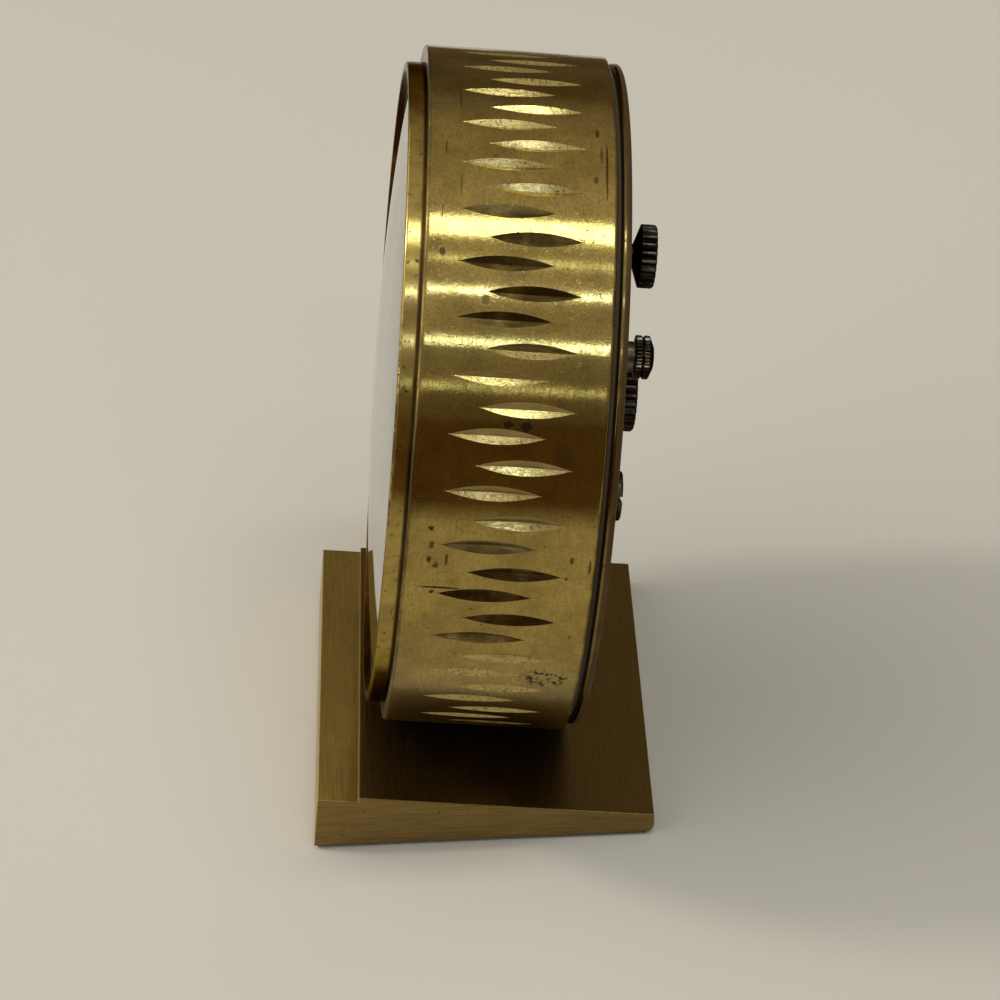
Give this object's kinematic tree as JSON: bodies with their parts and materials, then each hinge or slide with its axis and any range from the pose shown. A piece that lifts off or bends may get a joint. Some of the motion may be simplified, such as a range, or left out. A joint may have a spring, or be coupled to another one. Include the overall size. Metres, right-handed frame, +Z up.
{
  "type": "desk clock with calendar",
  "caption": "Round brass drum clock with a date window, tilted back on a wedge base; knobs on the back wind it, set the hands and date, and adjust its rate.",
  "frame": {"origin": "middle of the base's underside, on the surface it stands on", "axes": "+X to the right when facing the dial, +Y to the rear, +Z up; the drum's axis lies in the Y-Z plane and leans back by the slope of the base"},
  "size_m": [0.09, 0.0489, 0.0968],
  "materials": {
    "drum_brass": "satin brass, brushed round the drum, dulled and darkened in places",
    "rim_brass": "turned brass with a brown patina",
    "base_brass": "brass with a grain along its length",
    "cover_brass": "lacquered brass",
    "bush_brass": "turned brass",
    "knob_bronze": "turned brass with a nearly black patina",
    "movement_brass": "brass, lightly grained",
    "gilt_brass": "polished gilt brass",
    "steel": "turned steel",
    "spring_steel": "blued spring steel",
    "crystal_glass": "clear polished crystal",
    "gasket_rubber": "matt black",
    "dial_paint": "matt cream paint",
    "date_paint": "matt white paint with dark numerals",
    "flange_paint": "satin lacquer",
    "holder_aluminium": "turned aluminium",
    "felt": "dark green felt"
  },
  "bodies": {
    "case": {"base_block": "base_brass", "base_felt_pad": "felt", "base_screws": "steel", "drum_ring": "drum_brass", "front_bezel": "rim_brass", "crystal": "crystal_glass", "crystal_gasket": "gasket_rubber", "dial_flange": "flange_paint", "rear_rim": "rim_brass", "rear_rim_screws": "rim_brass", "back_cover": "cover_brass", "cover_bushes": "bush_brass", "movement_ring": "holder_aluminium", "front_plate": "movement_brass", "rear_plate": "movement_brass", "plate_pillars": "movement_brass", "plate_screws": "steel", "motion_work_posts": "steel", "click_screw": "steel", "hairspring": "spring_steel", "balance_cock": "movement_brass", "cock_screws": "steel", "calendar_plate": "movement_brass", "dial_plate": "dial_paint", "hour_markers": "gilt_brass"},
    "winding_set": {"barrel_arbor": "steel", "ratchet_wheel": "steel", "winding_knob": "knob_bronze"},
    "click_set": {"click": "steel"},
    "barrel_set": {"mainspring_barrel": "movement_brass", "barrel_cover": "movement_brass", "mainspring": "spring_steel"},
    "intermediate_set": {"intermediate_wheel": "movement_brass"},
    "centre_set": {"centre_wheel": "movement_brass"},
    "third_set": {"third_wheel": "movement_brass"},
    "fourth_set": {"fourth_wheel": "movement_brass"},
    "escape_set": {"escape_wheel": "movement_brass"},
    "fork_set": {"pallet_fork": "steel"},
    "balance_set": {"balance_wheel": "movement_brass"},
    "regulator_set": {"regulator_index": "steel", "regulator_knob": "knob_bronze"},
    "minute_set": {"centre_arbor": "steel", "cannon_pinion": "movement_brass", "minute_hand": "gilt_brass", "hand_nut": "gilt_brass", "hand_setting_knob": "knob_bronze"},
    "minute_wheel_set": {"minute_wheel": "movement_brass"},
    "hour_set": {"hour_wheel": "movement_brass", "hour_hand": "gilt_brass"},
    "date_driver_set": {"date_driver": "movement_brass"},
    "date_ring_set": {"date_ring": "date_paint"},
    "calendar_knob_set": {"date_corrector": "steel", "calendar_knob": "knob_bronze"}
  },
  "joints": [
    {"name": "winding", "type": "hinge", "parent": "case", "child": "winding_set", "pos_m": [0, 0.00616, 0.07156], "axis": [0, 0.9928, -0.1201], "range_deg": [0, 2160]},
    {"name": "click_lift", "type": "hinge", "parent": "case", "child": "click_set", "pos_m": [0.00778, 0.00681, 0.07697], "axis": [0, -0.9928, 0.1201], "range_deg": [0, 12], "stiffness_Nm_per_rad": 0.0001, "springref_deg": -5.73},
    {"name": "fourth_spin", "type": "hinge", "parent": "case", "child": "fourth_set", "pos_m": [0.01364, 0.00204, 0.03753], "axis": [0, 0.9928, -0.1201], "continuous": true},
    {"name": "third_spin", "type": "hinge", "parent": "case", "child": "third_set", "pos_m": [0.01015, 0.00319, 0.04705], "axis": [0, 0.9928, -0.1201], "continuous": true},
    {"name": "centre_spin", "type": "hinge", "parent": "case", "child": "centre_set", "pos_m": [0, 0.00363, 0.05072], "axis": [0, 0.9928, -0.1201], "continuous": true},
    {"name": "intermediate_spin", "type": "hinge", "parent": "case", "child": "intermediate_set", "pos_m": [-0.00761, 0.00455, 0.05832], "axis": [0, 0.9928, -0.1201], "continuous": true},
    {"name": "barrel_spin", "type": "hinge", "parent": "case", "child": "barrel_set", "pos_m": [0, 0.00616, 0.07156], "axis": [0, 0.9928, -0.1201], "continuous": true},
    {"name": "escape_spin", "type": "hinge", "parent": "case", "child": "escape_set", "pos_m": [0.0107, 0.00104, 0.0293], "axis": [0, 0.9928, -0.1201], "continuous": true},
    {"name": "fork_rock", "type": "hinge", "parent": "case", "child": "fork_set", "pos_m": [0.00638, 0.00135, 0.03181], "axis": [0, 0.9928, -0.1201], "range_deg": [-2.5, 2.5]},
    {"name": "balance_swing", "type": "hinge", "parent": "case", "child": "balance_set", "pos_m": [0, 0.0018, 0.03553], "axis": [0, 0.9928, -0.1201], "range_deg": [-135, 135], "stiffness_Nm_per_rad": 0.000004},
    {"name": "regulating", "type": "hinge", "parent": "case", "child": "regulator_set", "pos_m": [0, 0.0018, 0.03553], "axis": [0, 0.9928, -0.1201], "range_deg": [-30, 30]},
    {"name": "minute_spin", "type": "hinge", "parent": "case", "child": "minute_set", "pos_m": [0, 0.00363, 0.05072], "axis": [0, 0.9928, -0.1201], "continuous": true},
    {"name": "minute_wheel_spin", "type": "hinge", "parent": "case", "child": "minute_wheel_set", "pos_m": [-0.00594, 0.00292, 0.04482], "axis": [0, 0.9928, -0.1201], "continuous": true},
    {"name": "hour_spin", "type": "hinge", "parent": "case", "child": "hour_set", "pos_m": [0, 0.00363, 0.05072], "axis": [0, 0.9928, -0.1201], "continuous": true},
    {"name": "date_driver_spin", "type": "hinge", "parent": "case", "child": "date_driver_set", "pos_m": [0.00666, 0.00225, 0.03926], "axis": [0, 0.9928, -0.1201], "continuous": true},
    {"name": "date_ring_spin", "type": "hinge", "parent": "case", "child": "date_ring_set", "pos_m": [0, 0.00363, 0.05072], "axis": [0, 0.9928, -0.1201], "continuous": true},
    {"name": "calendar_knob_spin", "type": "hinge", "parent": "case", "child": "calendar_knob_set", "pos_m": [0.012, 0.00511, 0.06293], "axis": [0, 0.9928, -0.1201], "continuous": true}
  ],
  "couplings": [
    {"joint": "third_spin", "follows": "fourth_spin", "ratio": -0.13333},
    {"joint": "centre_spin", "follows": "fourth_spin", "ratio": 0.016667},
    {"joint": "intermediate_spin", "follows": "fourth_spin", "ratio": -0.0033333},
    {"joint": "barrel_spin", "follows": "fourth_spin", "ratio": 0.00047619},
    {"joint": "escape_spin", "follows": "fourth_spin", "ratio": -10},
    {"joint": "hour_spin", "follows": "minute_spin", "ratio": 0.083333},
    {"joint": "minute_wheel_spin", "follows": "minute_spin", "ratio": -0.33333},
    {"joint": "date_driver_spin", "follows": "minute_spin", "ratio": -0.041667},
    {"joint": "calendar_knob_spin", "follows": "date_ring_spin", "ratio": 3.875}
  ]
}
